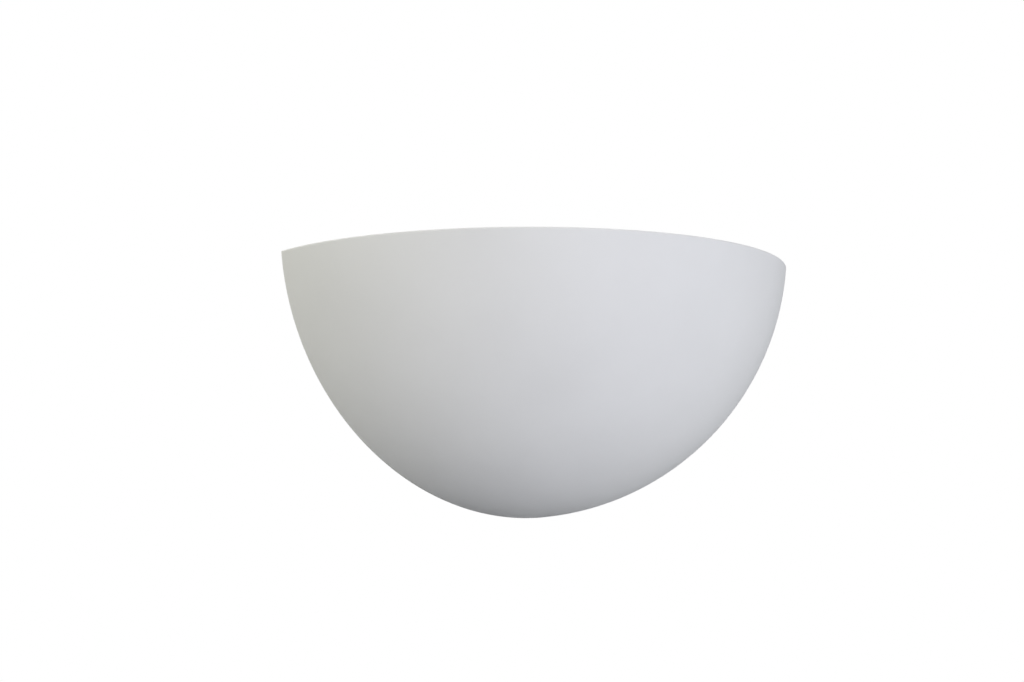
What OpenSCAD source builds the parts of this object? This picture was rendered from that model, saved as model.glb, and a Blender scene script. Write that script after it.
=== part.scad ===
// Uplighter wall sconce: a slip-cast ceramic bowl on a pressed steel wall bracket.
// +Z is up, +Y points into the wall and the wall's face is the plane y = 0.
// The origin is midway between the two wall slots, on the wall's face. Millimetres.

/* [Bowl] */
// Width across the rim, at the wall
bowl_w = 320; // [290:5:380]
// How far the rim is cut below the centre of the sphere
rim_drop = 14; // [6:1:30]
// Height of the rim above the wall slots
rim_up = 50; // [46:1:60]
// Thickness of the ceramic
bowl_wall = 7; // [5:0.5:9]
// Thickness of the thin lip that meets the wall
lip_wall = 4; // [3:0.5:5]
// Width of the flange round the back, from the outside of the bowl
flange_w = 26; // [24:1:32]
// Thickness of the flange
flange_t = 7; // [5:0.5:10]
// How far the flange stands in from the wall
flange_in = 3; // [2.5:0.5:5]
// Chamfer on the edges of the rim
rim_chamfer = 1; // [0.5:0.25:2]

/* [Wall bracket] */
// Thickness of the sheet steel
sheet_t = 1.5; // [1:0.25:2]
// Width of the raised tray
tray_w = 140; // [136:2:150]
// Height of the raised tray
tray_h = 76; // [74:2:84]
// How far the face of the tray stands off the wall
tray_d = 8; // [7:0.5:12]
// Corner radius of the tray
tray_r = 6; // [4:1:10]
// Height of the two wings
wing_h = 18; // [16:1:20]
// Distance between the two wall slots
slot_pitch = 180; // [170:2:200]
// Width of a wall slot
slot_w = 5; // [4:0.5:6]
// Length of a wall slot, end to end
slot_len = 12; // [9:1:14]
// Height of the cable hole above the wall slots
cable_up = 6; // [4:1:10]
// Diameter of the hole through the cable bush
cable_d = 12; // [8:1:14]

/* [Lamp] */
// Diameter of the lamp's globe
lamp_d = 60; // [50:1:64]
// Length of the lamp over all
lamp_len = 108; // [100:1:115]
// Diameter of the lamp's screw cap
cap_d = 26.4; // [26:0.1:26.5]
// Distance of the lamp's axis from the wall
lamp_out = 58; // [56:1:70]
// Height of the lamp's axis above the wall slots
lamp_up = 2; // [-2:1:6]

/* [Lamp arm] */
// Distance of the arm's outer face from the middle of the fitting
arm_off = 66; // [64:1:68]
// Height of the arm
arm_h = 30; // [26:1:34]
// Length of the arm's foot along the tray
foot_len = 26; // [22:1:30]
// Inside radius of the bend
bend_r = 1.5; // [1:0.5:3]
// Distance between the two screws in the foot
foot_pitch = 18; // [14:1:20]

/* [Lampholder] */
// Outside diameter of the lampholder
holder_d = 40; // [38:1:46]
// Length of the holder's bell
bell_len = 24; // [22:1:28]
// Length of the holder's skirt
skirt_len = 32; // [28:1:36]
// Bore of the skirt
skirt_bore = 29.2; // [29:0.2:32]
// Thickness of the bell's wall
bell_wall = 3.2; // [2:0.2:4]
// Thickness of the porcelain insert
insert_t = 8; // [6:0.5:10]
// Diameter of the hollow nipple's thread
nipple_d = 10; // [9:0.5:12]
// Bore of the hollow nipple
nipple_bore = 7; // [6.4:0.2:7.6]

/* [Fasteners] */
// Diameter of the bowl's two studs
stud_d = 4; // [3:0.5:5]
// Diameter of a thumb nut
thumb_d = 14; // [11:1:15]
// Height of a thumb nut
thumb_h = 8; // [6:1:10]
// Number of flutes in a thumb nut's knurl
thumb_flutes = 20; // [12:2:28]
// Thickness of the nylon washer under a thumb nut
washer_t = 1.2; // [0.8:0.2:2]
// Diameter of the screws in the bracket
screw_d = 4; // [3:0.5:4.5]
// Height of a hexagon nut
nut_t = 2.4; // [1.8:0.2:3]

/* [Terminal block] */
// Distance between two poles of the block
pole_pitch = 10; // [9:0.5:12]
// Length of the block's brass tubes
pole_len = 20; // [18:1:24]
// Height of the block off the tray
block_h = 14; // [13:0.5:17]
// Position of the block's middle pole, to the right of the middle of the fitting
block_x = 30; // [29:0.5:32]
// Position of the block's middle pole, below the wall slots
block_down = 14; // [12:1:16]

/* [Hidden] */
$fn = 96;

// Clearances
slip = 0.1;     // between a shank and its hole, and between parts that slip together
press = 0.05;   // between parts that are pressed together
thread_gap = 0.2; // between the lamp's cap and the screw shell it turns in
over = 1;       // how far a cutting shape runs past the face it cuts

// Bowl
centre_up = rim_up + rim_drop;                  // height of the sphere's centre
ball_r = sqrt(pow(bowl_w / 2, 2) + pow(rim_drop, 2));
flange_front = flange_in + flange_t;            // from the wall to the flange's front face
flange_mid_r = ball_r - (flange_w + bowl_wall) / 2;
stud_x = sqrt(pow(flange_mid_r, 2) - pow(centre_up, 2));
stud_play = 1;                                  // room round a stud, to square the bowl up
stud_hole_r = stud_d / 2 + stud_play;
stud_rim = 1.5;                                 // a stud's pressed head is this much larger in radius
stud_head_r = stud_d / 2 + stud_rim;
cushion_in = 1;                                 // the cushions stop this far inside the wing's edge
cushion_r = wing_h / 2 - cushion_in;
nylon_rim = 0.5;                                // the nylon washers stand this far outside the thumb nuts
thumb_collar_t = 2;
thumb_collar_in = 1.5;
flute_depth = 0.6;
stud_out = 2;                                   // a stud's end shows this far past its nut
stud_len = flange_front + washer_t + thumb_h + stud_out;

// Bracket
tray_face = tray_d;                             // distance of the tray's front face from the wall
tray_back = tray_d - sheet_t;
bush_wall = 4;
bush_lip_w = 2.5;                               // the bush's two lips reach this far over the sheet
bush_lip_t = 1.5;
bush_hole_r = cable_d / 2 + bush_wall;
bush_flange_r = bush_hole_r + bush_lip_w;
screw_r = screw_d / 2;
screw_hole_r = screw_r + slip;
head_r = screw_d * 0.95;
head_t = screw_d * 0.6;
hex_flat = screw_d * 1.75;                      // across the flats of a nut
thread_out = 0.8;                               // a screw's end shows this far past its nut

// Arm
arm_left = -arm_off;
arm_right = arm_left + sheet_t;
foot_face = tray_face + sheet_t;
foot_screw_x = arm_left + foot_len * 0.68;
arm_nose_r = arm_h / 2;
nipple_r = nipple_d / 2;
nipple_nut_t = 3;
nipple_washer_t = 0.8;
nipple_washer_rim = 3.5;
nipple_nut_flat = nipple_d * 1.5;
nipple_in_bell = 6;
nipple_out = 2;                                 // the nipple's end shows this far past its nut
nipple_back = sheet_t + nipple_washer_t + nipple_nut_t + nipple_out;

// Lampholder, measured along the lamp's axis from the arm's inner face
holder_r = holder_d / 2;
neck_wall = 3;
neck_r = nipple_r + neck_wall;
neck_len = 8;
shoulder_len = 6;                               // the bell's inside opens over this length, past its neck
mouth_len = 4;                                  // straight stretch at the bell's mouth
seat_t = 2;                                     // flange of the insert, clamped between bell and skirt
insert_seat = bell_len - seat_t;
insert_front = bell_len + insert_t - seat_t;
seat_w = 1.5;                                   // the insert's flange rests on a step this wide
insert_flange_r = holder_r - bell_wall;
bell_bore_r = insert_flange_r - seat_w;
skirt_bore_r = skirt_bore / 2;
skirt_collar_len = 6;
collar_flutes = 24;
collar_flute_r = 1.2;
collar_flute_depth = 0.6;
skirt_lip_len = 2;
skirt_step = 1;                                 // step from the skirt's collar to its tapered body
skirt_taper = 1.2;                              // what the tapered body loses in radius
skirt_lip = 1.6;                                // the lip's radius is less than the collar's by this
cap_r = cap_d / 2;
shell_r = cap_r + thread_gap;
shell_t = 0.5;
shell_len = 20;
contact_t = 0.6;
contact_w = 5;
contact_rise = 2.4;                             // the spring tongue stands this far off the insert
terminal_size = [5, 5, 6];
terminal_off = 6.5;

// Lamp, measured along its axis from the arm's inner face
tip_at = insert_front + contact_rise;
tip_r = 5;
tip_taper = 1.5;
tip_t = 2;
insulator_t = 3.5;
insulator_rim = 1.5;
cap_at = tip_at + tip_t + insulator_t;
cap_len = 20.5;
housing_at = cap_at + cap_len;
housing_rim = 0.6;                              // the housing is this much wider than the cap in radius
cap_lead = 2;                                   // tapered first stretch of the cap
cap_taper = 1.2;
lamp_end = tip_at + lamp_len;
globe_r = lamp_d / 2;
globe_mid = lamp_end - globe_r;                 // centre of the round end
globe_neck = 9.6;                               // the globe meets the housing this far before its middle
globe_at = globe_mid - globe_neck;
globe_wall = 1.6;
joint_r = sqrt(pow(globe_r, 2) - pow(globe_mid - globe_at, 2));

// Terminal block
block_z = -block_down;
pole_r = 2.3;
pole_bore_r = 1.5;
pole_up = 7.5;                                  // from the tray to a tube's axis
pole_in = 1;                                    // a tube's ends lie this far inside the block
pole_screw_r = 1.25;
pole_screw_dz = pole_len * 0.27;
pole_screw_t = 1.6;
pole_screw_len = 2.3;
pole_slot_w = 0.6;
pole_screw_rim = 0.5;
screw_well = 0.7;                               // room round a pole screw in its well
tower_gap = 2;
tower_w = pole_pitch - tower_gap;
block_base_t = 5;
ear_len = 6;
ear_x = 1.5 * pole_pitch + ear_len / 2;
ear_h = 11;
ear_screw_r = 1.5;
ear_head_r = 2.8;
ear_head_t = 2;
ear_screw_out = 2;                              // a block screw's end shows this far behind the tray

// Earth point
earth_in = 8;                                   // from the tray's lower edge
earth_x = 0;
earth_z = earth_in - tray_h / 2;
washer_rim = 2.2;
washer_r = screw_r + washer_rim;
earth_washer_t = 0.8;
earth_washer_in = 0.4;                          // the washer is this much smaller than the lug in radius
lug_t = 0.8;
lug_w = 3.6;
lug_barrel_r = 1.9;
lug_barrel_from = 4.2;
lug_barrel_to = 11;

// Wires
wire_r = 1.1;
wire_sides = 8;
wire_steps = 4;                                 // rings in each span of a route
axis_y = -lamp_out;
pole_y = -(tray_face + pole_up);
wire_in = pole_len / 2 - 5;                     // a wire's end is this far from the tube's middle
wire_gap = 1.3;                                 // each of the two wires lies this far off the nipple's axis
terminal_x = arm_right + insert_seat - terminal_size[2] - slip;

function pole_x(i) = block_x + (i - 1) * pole_pitch;

live_route = [
    [pole_x(0), pole_y, block_z - wire_in],
    [pole_x(0), pole_y, block_z - pole_len / 2 - 3],
    [pole_x(0) - 6, pole_y, -33], [0, -16, -34], [-30, -17, -34], [-58, -18, -33], [-74, -23, -29],
    [-81, -36, -18], [-82, axis_y + 10, -5], [-79, axis_y + 1, lamp_up + wire_gap - 0.5],
    [arm_left - 7, axis_y, lamp_up + wire_gap], [arm_right + 3, axis_y, lamp_up + wire_gap],
    [arm_right + nipple_in_bell + 1, axis_y, lamp_up + wire_gap + 0.2],
    [terminal_x - 3.2, axis_y, lamp_up + terminal_off - 0.4],
    [terminal_x - 1.5, axis_y, lamp_up + terminal_off], [terminal_x, axis_y, lamp_up + terminal_off]
];
neutral_route = [
    [pole_x(2), pole_y, block_z - wire_in],
    [pole_x(2), pole_y, block_z - pole_len / 2 - 4],
    [pole_x(2) - 6, pole_y, -36.6], [0, -19, -37.4], [-30, -20, -37.4], [-60, -21, -36.6], [-78, -27, -32],
    [-85, -40, -20], [-86, axis_y + 5, -8], [-81, axis_y, lamp_up - wire_gap - 1.2],
    [arm_left - 7, axis_y, lamp_up - wire_gap], [arm_right + 3, axis_y, lamp_up - wire_gap],
    [arm_right + nipple_in_bell + 1, axis_y, lamp_up - wire_gap - 0.2],
    [terminal_x - 3.2, axis_y, lamp_up - terminal_off + 0.4],
    [terminal_x - 1.5, axis_y, lamp_up - terminal_off], [terminal_x, axis_y, lamp_up - terminal_off]
];
earth_route = [
    [pole_x(1), pole_y, block_z - wire_in],
    [pole_x(1), pole_y, block_z - pole_len / 2 - 1.5],
    [pole_x(1) - 1.5, -13, earth_z + 1.6], [pole_x(1) - 8, -10.8, earth_z],
    [earth_x + lug_barrel_to + 3, -(tray_face + lug_barrel_r + slip), earth_z],
    [earth_x + lug_barrel_from + 2, -(tray_face + lug_barrel_r + slip), earth_z]
];

// ---- Shared shapes ----

// Stands its children on a plane that far from the wall, pointing into the room
module off_wall(x, z, out) translate([x, -out, z]) rotate([90, 0, 0]) children();

// Stands its children on the lamp's axis, that far from the arm's inner face
module on_lamp_axis(at = 0) translate([arm_right + at, -lamp_out, lamp_up]) rotate([0, 90, 0]) children();

// Rectangle with round corners, centred
module round_rect(w, h, r) {
    square([w - 2 * r, h], center = true);
    square([w, h - 2 * r], center = true);
    for (x = [-1, 1], y = [-1, 1])
        translate([x * (w / 2 - r), y * (h / 2 - r)]) circle(r);
}

// Slot with round ends, lying along X
module slot(len, w) {
    square([len - w, w], center = true);
    for (s = [-1, 1]) translate([s * (len - w) / 2, 0]) circle(w / 2);
}

// Ring of thickness t
module ring(outer, inner, t) difference() {
    cylinder(r = outer, h = t);
    translate([0, 0, -over]) cylinder(r = inner, h = t + 2 * over);
}

// Hexagon nut, across its flats
module hex_nut(flat, bore, t) difference() {
    cylinder(r = flat / 2 / cos(30), h = t, $fn = 6);
    translate([0, 0, -over]) cylinder(r = bore, h = t + 2 * over);
}

// Pan-headed screw with a slot: the head stands above the plane, the shank below it
module pan_screw(shank_r, shank_len, head_r, head_t, slot_w = 0.9) difference() {
    union() {
        translate([0, 0, -shank_len]) cylinder(r = shank_r, h = shank_len);
        cylinder(r = head_r, h = head_t * 0.6);
        translate([0, 0, head_t * 0.6]) cylinder(r1 = head_r, r2 = head_r * 0.7, h = head_t * 0.4);
    }
    translate([-head_r - over, -slot_w / 2, head_t * 0.5]) cube([2 * (head_r + over), slot_w, head_t]);
}

// Point on the smooth curve through four points, between the second and the third
function smooth(a, b, c, d, t) =
    0.5 * (2 * b + (c - a) * t + (2 * a - 5 * b + 4 * c - d) * t * t + (3 * b - a - 3 * c + d) * t * t * t);

// A route with the points between its corners filled in
function fill_route(p) = let(n = len(p)) concat(
    [for (i = [0:n - 2], k = [0:wire_steps - 1])
        smooth(p[max(i - 1, 0)], p[i], p[i + 1], p[min(i + 2, n - 1)], k / wire_steps)],
    [p[n - 1]]);

function unit(v) = v / norm(v);

// Tube along a route, as one closed skin
module tube(route, r) {
    p = fill_route(route);
    n = len(p);
    along = [for (i = [0:n - 1]) unit(p[min(i + 1, n - 1)] - p[max(i - 1, 0)])];
    level = [0.25, 0.9, 0.36];                  // no stretch of a wire runs this way
    side = [for (a = along) unit(cross(a, level))];
    up = [for (i = [0:n - 1]) cross(side[i], along[i])];
    skin = [for (i = [0:n - 1], k = [0:wire_sides - 1])
        let(w = 360 * k / wire_sides) p[i] + r * (cos(w) * side[i] + sin(w) * up[i])];
    walls = [for (i = [0:n - 2], k = [0:wire_sides - 1])
        let(a = i * wire_sides + k, b = i * wire_sides + (k + 1) % wire_sides)
        each [[a, b, b + wire_sides], [a, b + wire_sides, a + wire_sides]]];
    first = [for (k = [1:wire_sides - 2]) [0, k + 1, k]];
    last = [for (k = [1:wire_sides - 2]) let(o = (n - 1) * wire_sides) [o, o + k, o + k + 1]];
    polyhedron(skin, concat(walls, first, last));
}

// ---- Bowl and what holds it ----

// Slab of space between two distances from the wall, below a height
module slab(near, far, top) translate([-ball_r - over, -far, -2 * ball_r])
    cube([2 * (ball_r + over), far - near, 2 * ball_r + top]);

module ball(r) translate([0, 0, centre_up]) sphere(r);

// Cone that takes the corner off one edge of the rim, where the rim's circle has radius r
module rim_cut(r, outward) translate([0, 0, rim_up - rim_chamfer]) {
    if (outward) difference() {
        cylinder(r = r + 2 * rim_chamfer, h = 2 * rim_chamfer);
        translate([0, 0, -slip])
            cylinder(r1 = r + slip, r2 = r - 2 * rim_chamfer - slip, h = 2 * (rim_chamfer + slip));
    }
    else cylinder(r1 = r - rim_chamfer, r2 = r + rim_chamfer, h = 2 * rim_chamfer);
}

module bowl() {
    inner_r = ball_r - bowl_wall;
    rim_inner_r = sqrt(pow(inner_r, 2) - pow(rim_drop, 2));
    color("whitesmoke") difference() {
        intersection() {
            ball(ball_r);
            slab(0, 2 * ball_r, rim_up);
        }
        // hollow in front of the flange
        intersection() {
            ball(inner_r);
            slab(flange_front, 2 * ball_r, rim_up + over);
        }
        // recess behind the flange, for the bracket
        intersection() {
            ball(ball_r - lip_wall);
            slab(-over, flange_in, rim_up + over);
        }
        // way through the flange
        off_wall(0, centre_up, -over) cylinder(r = ball_r - flange_w, h = flange_front + 2 * over);
        for (s = [-1, 1]) off_wall(s * stud_x, 0, 0) cylinder(r = stud_hole_r, h = flange_front + over);
        rim_cut(bowl_w / 2, true);
        intersection() {
            rim_cut(rim_inner_r, false);
            slab(flange_front, 2 * ball_r, rim_up + 2 * over);
        }
    }
}

module at_studs(out) for (s = [-1, 1]) off_wall(s * stud_x, 0, out) children();

module bowl_studs() color("silver") at_studs(0) {
    cylinder(r = stud_head_r, h = sheet_t);
    cylinder(r = stud_d / 2, h = stud_len);
}

module cushion_washers() color("dimgray")
    at_studs(sheet_t) ring(cushion_r, stud_d / 2 + slip, flange_in - sheet_t);

module nylon_washers() color("ivory")
    at_studs(flange_front) ring(thumb_d / 2 + nylon_rim, stud_d / 2 + slip, washer_t);

module thumb_nuts() color("gainsboro") at_studs(flange_front + washer_t) difference() {
    union() {
        cylinder(r = thumb_d / 2 - thumb_collar_in, h = thumb_collar_t);
        translate([0, 0, thumb_collar_t]) linear_extrude(thumb_h - thumb_collar_t)
            polygon([for (k = [0:2 * thumb_flutes - 1])
                let(w = 180 * k / thumb_flutes, r = thumb_d / 2 - flute_depth * (k % 2))
                r * [cos(w), sin(w)]]);
    }
    translate([0, 0, -over]) cylinder(r = stud_d / 2 + press, h = thumb_h + 2 * over);
}

// ---- Wall bracket ----

module wall_bracket() color("white") difference() {
    union() {
        off_wall(0, 0, 0) linear_extrude(tray_d) round_rect(tray_w, tray_h, tray_r);
        off_wall(0, 0, 0) linear_extrude(sheet_t) slot(2 * stud_x + wing_h, wing_h);
    }
    off_wall(0, 0, -over) linear_extrude(tray_back + over)
        round_rect(tray_w - 2 * sheet_t, tray_h - 2 * sheet_t, tray_r - sheet_t);
    for (s = [-1, 1]) {
        off_wall(s * slot_pitch / 2, 0, -over) linear_extrude(sheet_t + 2 * over) slot(slot_len, slot_w);
        off_wall(s * stud_x, 0, -over) cylinder(r = stud_head_r + press, h = sheet_t + 2 * over);
        off_wall(foot_screw_x, lamp_up + s * foot_pitch / 2, 0) cylinder(r = screw_hole_r, h = tray_d + over);
        off_wall(block_x + s * ear_x, block_z, 0) cylinder(r = ear_screw_r + slip, h = tray_d + over);
    }
    off_wall(0, cable_up, 0) cylinder(r = bush_hole_r, h = tray_d + over);
    off_wall(earth_x, earth_z, 0) cylinder(r = screw_hole_r, h = tray_d + over);
}

module cable_bush() color("dimgray") off_wall(0, cable_up, tray_back - bush_lip_t) rotate_extrude()
    difference() {
        square([bush_flange_r, sheet_t + 2 * bush_lip_t]);
        translate([-over, -over]) square([cable_d / 2 + over, sheet_t + 2 * (bush_lip_t + over)]);
        translate([bush_hole_r - slip, bush_lip_t]) square([bush_flange_r, sheet_t]);
    }

// ---- Lamp arm ----

module lamp_arm() color("white") difference() {
    union() {
        // foot on the tray
        translate([arm_right + bend_r, -foot_face, lamp_up - arm_h / 2])
            cube([foot_len - sheet_t - bend_r, sheet_t, arm_h]);
        // bend
        translate([arm_right + bend_r, -foot_face - bend_r, lamp_up - arm_h / 2])
            rotate([0, 0, 90]) rotate_extrude(angle = 90) translate([bend_r, 0]) square([sheet_t, arm_h]);
        // upright, with a round nose about the nipple
        translate([arm_left, -lamp_out, lamp_up - arm_h / 2])
            cube([sheet_t, lamp_out - foot_face - bend_r, arm_h]);
        on_lamp_axis(-sheet_t) cylinder(r = arm_nose_r, h = sheet_t);
    }
    on_lamp_axis(-sheet_t - over) cylinder(r = nipple_r + slip, h = sheet_t + 2 * over);
    at_foot_screws(tray_face - over) cylinder(r = screw_hole_r, h = sheet_t + 2 * over);
}

module at_foot_screws(out) for (s = [-1, 1])
    off_wall(foot_screw_x, lamp_up + s * foot_pitch / 2, out) children();

module arm_screws() color("silver")
    at_foot_screws(foot_face) pan_screw(screw_r, 2 * sheet_t + nut_t + thread_out, head_r, head_t);

module arm_nuts() color("silver")
    at_foot_screws(tray_back - nut_t) hex_nut(hex_flat, screw_r + press, nut_t);

module nipple() color("goldenrod")
    on_lamp_axis(-nipple_back) ring(nipple_r, nipple_bore / 2, nipple_back + nipple_in_bell);

module nipple_washer() color("silver") on_lamp_axis(-sheet_t - nipple_washer_t)
    ring(nipple_r + nipple_washer_rim, nipple_r + press, nipple_washer_t);

module nipple_nut() color("goldenrod") on_lamp_axis(-sheet_t - nipple_washer_t - nipple_nut_t)
    hex_nut(nipple_nut_flat, nipple_r + press, nipple_nut_t);

// ---- Lampholder ----

// Outline of the bell, from its neck to its mouth, with a round shoulder
bell_arc = [for (w = [90:-15:0])
    [neck_r + (holder_r - neck_r) * cos(w), neck_len + (bell_len - neck_len - mouth_len) * (1 - sin(w))]];

module holder_bell() color("whitesmoke") on_lamp_axis() rotate_extrude() difference() {
    polygon(concat(
        [[0, 0], [neck_r, 0], [neck_r, neck_len]], bell_arc, [[holder_r, bell_len], [0, bell_len]]));
    translate([-over, -over]) square([nipple_r + press + over, neck_len + 2 * over]);
    polygon([
        [-over, neck_len], [nipple_r + slip, neck_len], [bell_bore_r, neck_len + shoulder_len],
        [bell_bore_r, bell_len + over], [-over, bell_len + over]
    ]);
    translate([0, insert_seat]) square([insert_flange_r + slip, seat_t + over]);
}

module holder_insert() color("ivory") on_lamp_axis(insert_seat) {
    cylinder(r = insert_flange_r, h = seat_t);
    cylinder(r = skirt_bore_r - slip, h = insert_t);
}

module holder_skirt() color("whitesmoke") on_lamp_axis(bell_len) difference() {
    union() {
        cylinder(r = holder_r, h = skirt_collar_len);
        translate([0, 0, skirt_collar_len]) cylinder(
            r1 = holder_r - skirt_step, r2 = holder_r - skirt_step - skirt_taper,
            h = skirt_len - skirt_collar_len - skirt_lip_len);
        translate([0, 0, skirt_len - skirt_lip_len]) cylinder(r = holder_r - skirt_lip, h = skirt_lip_len);
    }
    translate([0, 0, -over]) cylinder(r = skirt_bore_r, h = skirt_len + 2 * over);
    for (k = [1:collar_flutes]) rotate(360 * k / collar_flutes)
        translate([holder_r + collar_flute_r - collar_flute_depth, 0, -over])
            cylinder(r = collar_flute_r, h = skirt_collar_len + 2 * over, $fn = 24);
}

module screw_shell() color("goldenrod")
    on_lamp_axis(insert_front) ring(shell_r + shell_t, shell_r, shell_len);

// Bent strip that presses on the lamp's tip: a foot, a rise and a tongue
module centre_contact() color("goldenrod") on_lamp_axis(insert_front)
    translate([0, contact_w / 2, 0]) rotate([90, 0, 0]) linear_extrude(contact_w) polygon([
        [-8, 0], [-3, 0], [1, contact_rise - contact_t], [4, contact_rise - contact_t],
        [4, contact_rise], [0.6, contact_rise], [-3.4, contact_t], [-8, contact_t]
    ]);

module holder_terminals() color("goldenrod") on_lamp_axis(insert_seat - terminal_size[2])
    for (s = [-1, 1]) translate([s * terminal_off - terminal_size[0] / 2, -terminal_size[1] / 2, 0])
        cube(terminal_size);

// ---- Lamp ----

module lamp_tip() color("silver") on_lamp_axis(tip_at) {
    cylinder(r1 = tip_r - tip_taper, r2 = tip_r, h = tip_t / 2);
    translate([0, 0, tip_t / 2]) cylinder(r = tip_r, h = tip_t / 2);
}

module lamp_insulator() color("black")
    on_lamp_axis(tip_at + tip_t)
        cylinder(r1 = tip_r + insulator_rim, r2 = cap_r - insulator_rim, h = insulator_t);

module lamp_cap() color("silver") on_lamp_axis(cap_at) {
    cylinder(r1 = cap_r - cap_taper, r2 = cap_r, h = cap_lead);
    translate([0, 0, cap_lead]) cylinder(r = cap_r, h = cap_len - cap_lead);
}

// Flared outline of the housing from the cap to the globe, smooth at both ends
flare = joint_r - cap_r - housing_rim;
housing_curve = [for (k = [0:12]) let(t = k / 12)
    [cap_r + housing_rim + flare * (t - 0.12 * sin(360 * t)), housing_at + (globe_at - housing_at) * t]];

module lamp_housing() color("white") on_lamp_axis() rotate_extrude()
    polygon(concat([[0, housing_at]], housing_curve, [[0, globe_at]]));

module lamp_globe() color("white") on_lamp_axis() difference() {
    intersection() {
        translate([0, 0, globe_mid]) sphere(globe_r);
        translate([0, 0, globe_at]) cylinder(r = globe_r + over, h = 2 * globe_r);
    }
    intersection() {
        translate([0, 0, globe_mid]) sphere(globe_r - globe_wall);
        translate([0, 0, globe_at + globe_wall]) cylinder(r = globe_r + over, h = 2 * globe_r);
    }
}

// ---- Terminal block ----

module at_poles(out) for (i = [0:2]) translate([pole_x(i), -out, block_z]) children();

module at_pole_screws(out) for (i = [0:2], s = [-1, 1])
    off_wall(pole_x(i), block_z + s * pole_screw_dz, out) children();

module at_ears(out) for (s = [-1, 1]) off_wall(block_x + s * ear_x, block_z, out) children();

module terminal_block() color("ivory") difference() {
    union() {
        off_wall(block_x, block_z, tray_face) linear_extrude(block_base_t)
            square([3 * pole_pitch, pole_len], center = true);
        off_wall(block_x, block_z, tray_face) linear_extrude(block_base_t)
            round_rect(2 * ear_x + ear_h, ear_h, ear_h / 2 - slip);
        for (i = [0:2]) off_wall(pole_x(i), block_z, tray_face) linear_extrude(block_h)
            round_rect(tower_w, pole_len, 1);
    }
    at_poles(tray_face + pole_up) cylinder(r = pole_r + slip, h = pole_len + 2 * over, center = true);
    at_pole_screws(tray_face + pole_up) cylinder(r = pole_screw_r + screw_well, h = block_h);
    at_ears(tray_face - over) cylinder(r = ear_screw_r + slip, h = block_base_t + 2 * over);
}

module terminal_tubes() color("goldenrod") difference() {
    at_poles(tray_face + pole_up) difference() {
        cylinder(r = pole_r, h = pole_len - 2 * pole_in, center = true);
        cylinder(r = pole_bore_r, h = pole_len, center = true);
    }
    at_pole_screws(tray_face + pole_up) cylinder(r = pole_screw_r + press, h = block_h);
}

module terminal_screws() color("silver")
    at_pole_screws(tray_face + pole_up + wire_r + pole_screw_len + 2 * slip)
        pan_screw(pole_screw_r, pole_screw_len, pole_screw_r + pole_screw_rim, pole_screw_t, pole_slot_w);

module block_screws() color("silver") at_ears(tray_face + block_base_t)
    pan_screw(ear_screw_r, block_base_t + sheet_t + ear_screw_out, ear_head_r, ear_head_t);

// ---- Earth point ----

module earth_lug() color("silver") {
    off_wall(earth_x, earth_z, tray_face) ring(washer_r, screw_r + slip, lug_t);
    difference() {
        union() {
            translate([earth_x + lug_barrel_from, -(tray_face + lug_barrel_r), earth_z]) rotate([0, 90, 0])
                cylinder(r = lug_barrel_r, h = lug_barrel_to - lug_barrel_from);
            translate([earth_x + screw_r + 1, -(tray_face + lug_t), earth_z - lug_w / 2])
                cube([lug_barrel_from - screw_r, lug_t, lug_w]);
        }
        translate([earth_x + lug_barrel_from - over, -(tray_face + lug_barrel_r + slip), earth_z])
            rotate([0, 90, 0]) cylinder(r = wire_r + slip, h = lug_barrel_to);
    }
}

module earth_washer() color("silver") off_wall(earth_x, earth_z, tray_face + lug_t)
    ring(washer_r - earth_washer_in, screw_r + slip, earth_washer_t);

module earth_screw() color("goldenrod") off_wall(earth_x, earth_z, tray_face + lug_t + earth_washer_t)
    pan_screw(screw_r, lug_t + earth_washer_t + sheet_t + nut_t + thread_out, head_r, head_t);

module earth_nut() color("goldenrod")
    off_wall(earth_x, earth_z, tray_back - nut_t) hex_nut(hex_flat, screw_r + press, nut_t);

// ---- Wires ----

module live_wire() color("saddlebrown") tube(live_route, wire_r);
module neutral_wire() color("royalblue") tube(neutral_route, wire_r);
module earth_wire() color("yellowgreen") tube(earth_route, wire_r);

bowl();
wall_bracket();
cable_bush();
bowl_studs();
cushion_washers();
nylon_washers();
thumb_nuts();
lamp_arm();
arm_screws();
arm_nuts();
nipple();
nipple_washer();
nipple_nut();
holder_bell();
holder_insert();
holder_skirt();
screw_shell();
centre_contact();
holder_terminals();
lamp_globe();
lamp_housing();
lamp_cap();
lamp_insulator();
lamp_tip();
terminal_block();
terminal_tubes();
terminal_screws();
block_screws();
earth_screw();
earth_washer();
earth_lug();
earth_nut();
live_wire();
neutral_wire();
earth_wire();
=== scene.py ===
"""Dresses the frame of an uplighter wall sconce: its finishes, round edges, threads and wires.

The frame holds every piece at its real place and size. Lengths are metres, unless a line says
otherwise. +Z is up and +Y points into the wall, whose face is the plane y = 0.
"""

import math
from functools import cache
from operator import attrgetter

import bmesh
import bpy
from bpy.props import FloatProperty, FloatVectorProperty, IntProperty, PointerProperty
from mathutils import Matrix, Vector


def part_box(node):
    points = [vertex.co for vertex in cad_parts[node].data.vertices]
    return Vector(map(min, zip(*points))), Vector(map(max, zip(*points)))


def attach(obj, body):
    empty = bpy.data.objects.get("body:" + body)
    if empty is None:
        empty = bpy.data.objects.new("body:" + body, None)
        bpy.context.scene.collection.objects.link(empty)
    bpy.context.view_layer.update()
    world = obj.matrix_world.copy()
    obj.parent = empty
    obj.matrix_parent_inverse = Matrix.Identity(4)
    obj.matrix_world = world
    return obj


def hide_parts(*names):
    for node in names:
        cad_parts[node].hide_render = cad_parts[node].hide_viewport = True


bl_info = {
    "name": "Uplighter Wall Sconce",
    "version": (1, 0, 0),
    "blender": (4, 5, 0),
    "location": "View3D > Sidebar > Sconce",
    "description": "Dresses the frame of a ceramic uplighter wall sconce",
    "category": "Object",
}

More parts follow.
